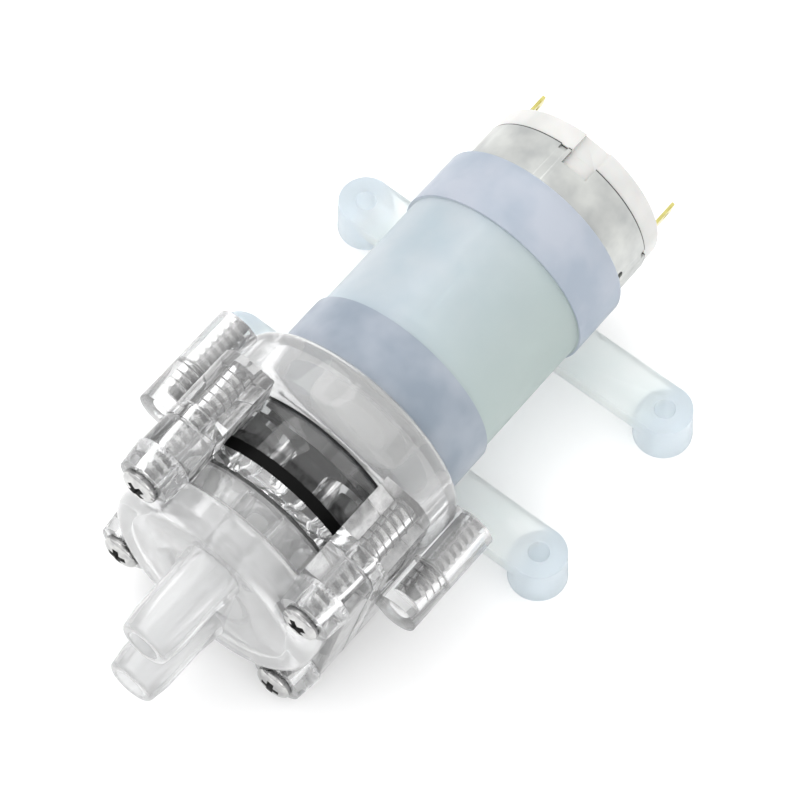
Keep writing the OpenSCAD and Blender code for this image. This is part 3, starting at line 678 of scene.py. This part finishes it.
def screw_thread(length):
    """A helical ridge down a shank that hangs from z = 0, as one closed tube."""
    half = THREAD_PITCH * 0.42
    foot_r = SCREW_CORE_R - 0.12 * MM
    turns = int((length - POINT_LEN - 0.1 * MM) / THREAD_PITCH)
    deselect_all()
    bpy.ops.mesh.primitive_circle_add(vertices=3, radius=1)
    ridge = added("thread_ridge")
    corners = [(foot_r, -half), (SCREW_R, 0), (foot_r, half)]
    for v, (r, z) in zip(ridge.data.vertices, corners):
        v.co = (r, 0, z)
    apply_modifier(ridge, "SCREW", axis="Z", steps=20, render_steps=20, iterations=turns,
                   screw_offset=-THREAD_PITCH, angle=2 * math.pi, use_merge_vertices=False,
                   use_smooth_shade=True)
    edit(ridge, "DESELECT")
    bpy.ops.mesh.select_mode(type="EDGE")
    bpy.ops.mesh.select_non_manifold()
    bpy.ops.mesh.edge_face_add()
    bpy.ops.mesh.select_all(action="SELECT")
    bpy.ops.mesh.normals_make_consistent(inside=False)
    done()
    placed(ridge, Matrix.Translation((0, 0, -THREAD_PITCH * 0.5)))
    return ridge


def screw_shank(length):
    """The core of a screw with its blunt point, hanging from z = 0."""
    return lathe("screw_shank", [
        (0, 0.3 * MM), (SCREW_CORE_R, 0.3 * MM), (SCREW_CORE_R, -length + POINT_LEN),
        (SCREW_CORE_R * 0.8, -length + 0.5 * MM), (0.5 * MM, -length + 0.1 * MM), (0, -length)], 24)


def whole_screw(name, length):
    """One screw as one mesh: nickel head and ridge, painted shade on the root between the turns."""
    parts = [screw_head(), screw_shank(length), screw_thread(length)]
    for part, finish in zip(parts[1:], (THREAD_ROOT_SHADE, NICKEL)):
        set_finish(part, finish)
    screw = joined(parts, name)
    smooth(screw, 30)
    return screw


def screw_set(name, node, length, places):
    """Copies of one screw at their places, joined in one piece that stands for the node."""
    model = whole_screw(name, length)
    copies = []
    for i, place in enumerate(places):
        copy = bpy.data.objects.new(f"{name}_{i}", model.data.copy())
        bpy.context.scene.collection.objects.link(copy)
        placed(copy, place @ Matrix.Rotation(math.radians(20 + 37 * i), 4, "Z"))
        copies.append(copy)
    bpy.data.objects.remove(model)
    piece = joined(copies, name)
    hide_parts(node)
    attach(piece, "frame")


def fit_screws():
    low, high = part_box("front_screws")
    head_back = low.y + SCREW_HEAD_H
    screw_set("front_pan_screws", "front_screws", high.y - head_back, front_screw_places(head_back))
    low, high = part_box("rear_screws")
    head_front = high.y - SCREW_HEAD_H
    screw_set("rear_pan_screws", "rear_screws", head_front - low.y,
              [along_axis(x * EAR_PLACE, 0, head_front, -FORWARD) for x in (-1, 1)])


def lay_floor():
    """A plain pale floor under the feet."""
    deselect_all()
    bpy.ops.mesh.primitive_plane_add(size=4, location=(0, 0, -0.02 * MM))
    floor = added("floor")
    f = Finish("pale_floor", **{
        "Roughness": 0.9, "Specular IOR Level": 0.1,
        "Emission Color": (1, 1, 1, 1), "Emission Strength": 0.15})
    f.colour((0.93, 0.93, 0.93), (0.945, 0.945, 0.945), 0.3, 1)
    set_finish(floor, f.material)


def softbox(name, place, aim, size, power):
    """A rectangular lamp that looks from its place at its aim."""
    light = bpy.data.lights.new(name, "AREA")
    light.shape = "RECTANGLE"
    light.size, light.size_y = size
    light.energy = power
    obj = bpy.data.objects.new(name, light)
    bpy.context.scene.collection.objects.link(obj)
    obj.location = place
    obj.rotation_mode = "QUATERNION"
    obj.rotation_quaternion = (Vector(aim) - Vector(place)).to_track_quat("-Z", "Y")


# Gaps between the tent's panels, which show as dark squares in clear and bright surfaces
TENT_GAPS = [
    # direction, half width
    ((-0.22, 0.35, 0.91), 0.11),
    ((0.79, 0.35, 0.50), 0.13),
    ((0.30, -0.36, 0.88), 0.08),
]


def tent_gap(nodes, links, look, direction, half_width):
    """One inside a square of directions, and zero outside it."""
    middle = Vector(direction).normalized()
    side = middle.cross(Vector((0, 1, 0))).normalized()
    inside = None
    for axis, low in ((side, None), (middle.cross(side), None), (middle, 0.5)):
        dot = nodes.new("ShaderNodeVectorMath")
        dot.operation = "DOT_PRODUCT"
        links.new(look, dot.inputs[0])
        dot.inputs[1].default_value = axis
        if low is None:
            size = nodes.new("ShaderNodeMath")
            size.operation = "ABSOLUTE"
            links.new(dot.outputs["Value"], size.inputs[0])
            test = nodes.new("ShaderNodeMath")
            test.operation = "LESS_THAN"
            test.inputs[1].default_value = half_width
            links.new(size.outputs[0], test.inputs[0])
        else:
            test = nodes.new("ShaderNodeMath")
            test.operation = "GREATER_THAN"
            test.inputs[1].default_value = low
            links.new(dot.outputs["Value"], test.inputs[0])
        if inside is None:
            inside = test.outputs[0]
        else:
            both = nodes.new("ShaderNodeMath")
            both.operation = "MULTIPLY"
            links.new(inside, both.inputs[0])
            links.new(test.outputs[0], both.inputs[1])
            inside = both.outputs[0]
    return inside


def light_studio():
    """A bright tent, dimmer low down, with dark gaps between its panels, and two soft lamps."""
    world = bpy.data.worlds.new("studio")
    bpy.context.scene.world = world
    world.use_nodes = True
    nodes, links = world.node_tree.nodes, world.node_tree.links
    background = nodes["Background"]
    look = nodes.new("ShaderNodeTexCoord").outputs["Generated"]
    split = nodes.new("ShaderNodeSeparateXYZ")
    ramp = nodes.new("ShaderNodeValToRGB")
    links.new(look, split.inputs[0])
    links.new(split.outputs["Z"], ramp.inputs["Fac"])
    ramp.color_ramp.elements[0].position = 0.0
    ramp.color_ramp.elements[0].color = (0.85, 0.85, 0.86, 1)
    ramp.color_ramp.elements[1].position = 0.6
    ramp.color_ramp.elements[1].color = (1, 1, 1, 1)
    light = ramp.outputs["Color"]
    for direction, half_width in TENT_GAPS:
        mix = nodes.new("ShaderNodeMix")
        mix.data_type = "RGBA"
        colours = [socket for socket in mix.inputs if socket.type == "RGBA"]
        links.new(tent_gap(nodes, links, look, direction, half_width), mix.inputs["Factor"])
        links.new(light, colours[0])
        colours[1].default_value = (0.02, 0.02, 0.02, 1)
        light = next(socket for socket in mix.outputs if socket.type == "RGBA")
    links.new(light, background.inputs["Color"])
    background.inputs["Strength"].default_value = 1.3
    softbox("key", (-0.25, 0.1, 0.6), (0, 0, 0.02), (0.45, 0.45), 1.2)
    softbox("fill", (0.5, -0.35, 0.35), (0, 0, 0.02), (0.3, 0.3), 0.3)


# The camera, solved from the round edges in the photograph
CAMERA_PLACE = (0.1611, -0.2045, 0.4869)
CAMERA_AIM = (0.00207, -0.01344, 0.0206)
CAMERA_ROLL = -0.773
CAMERA_LENS = 178.17


def set_camera():
    camera = bpy.data.objects.new("camera", bpy.data.cameras.new("camera"))
    bpy.context.scene.collection.objects.link(camera)
    camera.data.lens = CAMERA_LENS
    camera.data.sensor_width = 36
    camera.data.clip_start, camera.data.clip_end = 0.05, 20
    camera.location = CAMERA_PLACE
    look = (Vector(CAMERA_AIM) - Vector(CAMERA_PLACE)).to_track_quat("-Z", "Y")
    roll = Matrix.Rotation(math.radians(CAMERA_ROLL), 4, "Z").to_quaternion()
    camera.rotation_mode = "QUATERNION"
    camera.rotation_quaternion = look @ roll
    bpy.context.scene.camera = camera


def let_light_through():
    """Enough turns for light that crosses the stacked clear mouldings."""
    cycles = bpy.context.scene.cycles
    cycles.max_bounces = 40
    cycles.glossy_bounces = 32
    cycles.transmission_bounces = 40


set_camera()
lay_floor()
light_studio()
bpy.context.scene.view_settings.view_transform = "Standard"
let_light_through()
dress_inner_nodes()
mould_main_pieces()
fit_screws()
